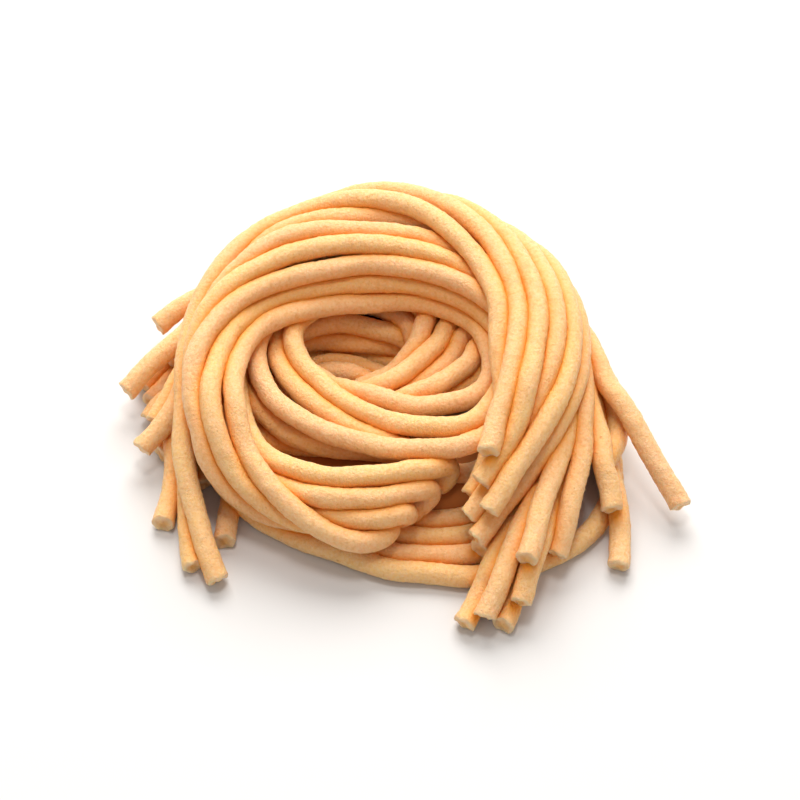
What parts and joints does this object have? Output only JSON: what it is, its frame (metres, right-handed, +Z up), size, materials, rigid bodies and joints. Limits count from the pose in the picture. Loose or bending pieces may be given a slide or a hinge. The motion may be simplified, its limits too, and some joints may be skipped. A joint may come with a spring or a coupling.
{
  "type": "nest of dry whole-grain spaghetti",
  "caption": "Dry spaghetti wound into a round nest with an open well, resting on its lowest turn, with loose ends fanned out at the left and right.",
  "frame": {"origin": "centre of the bounding box's underside, on the surface that the nest lies on", "axes": "+Z up; +X to the right and +Y to the back, seen from the front where the loose ends point"},
  "size_m": [0.0855, 0.0727, 0.023],
  "materials": {
    "dry_dough": "satin, finely rough, pale wheat colour with small bran specks"
  },
  "bodies": {
    "root": {"noodle_nest": "dry_dough"}
  },
  "joints": []
}
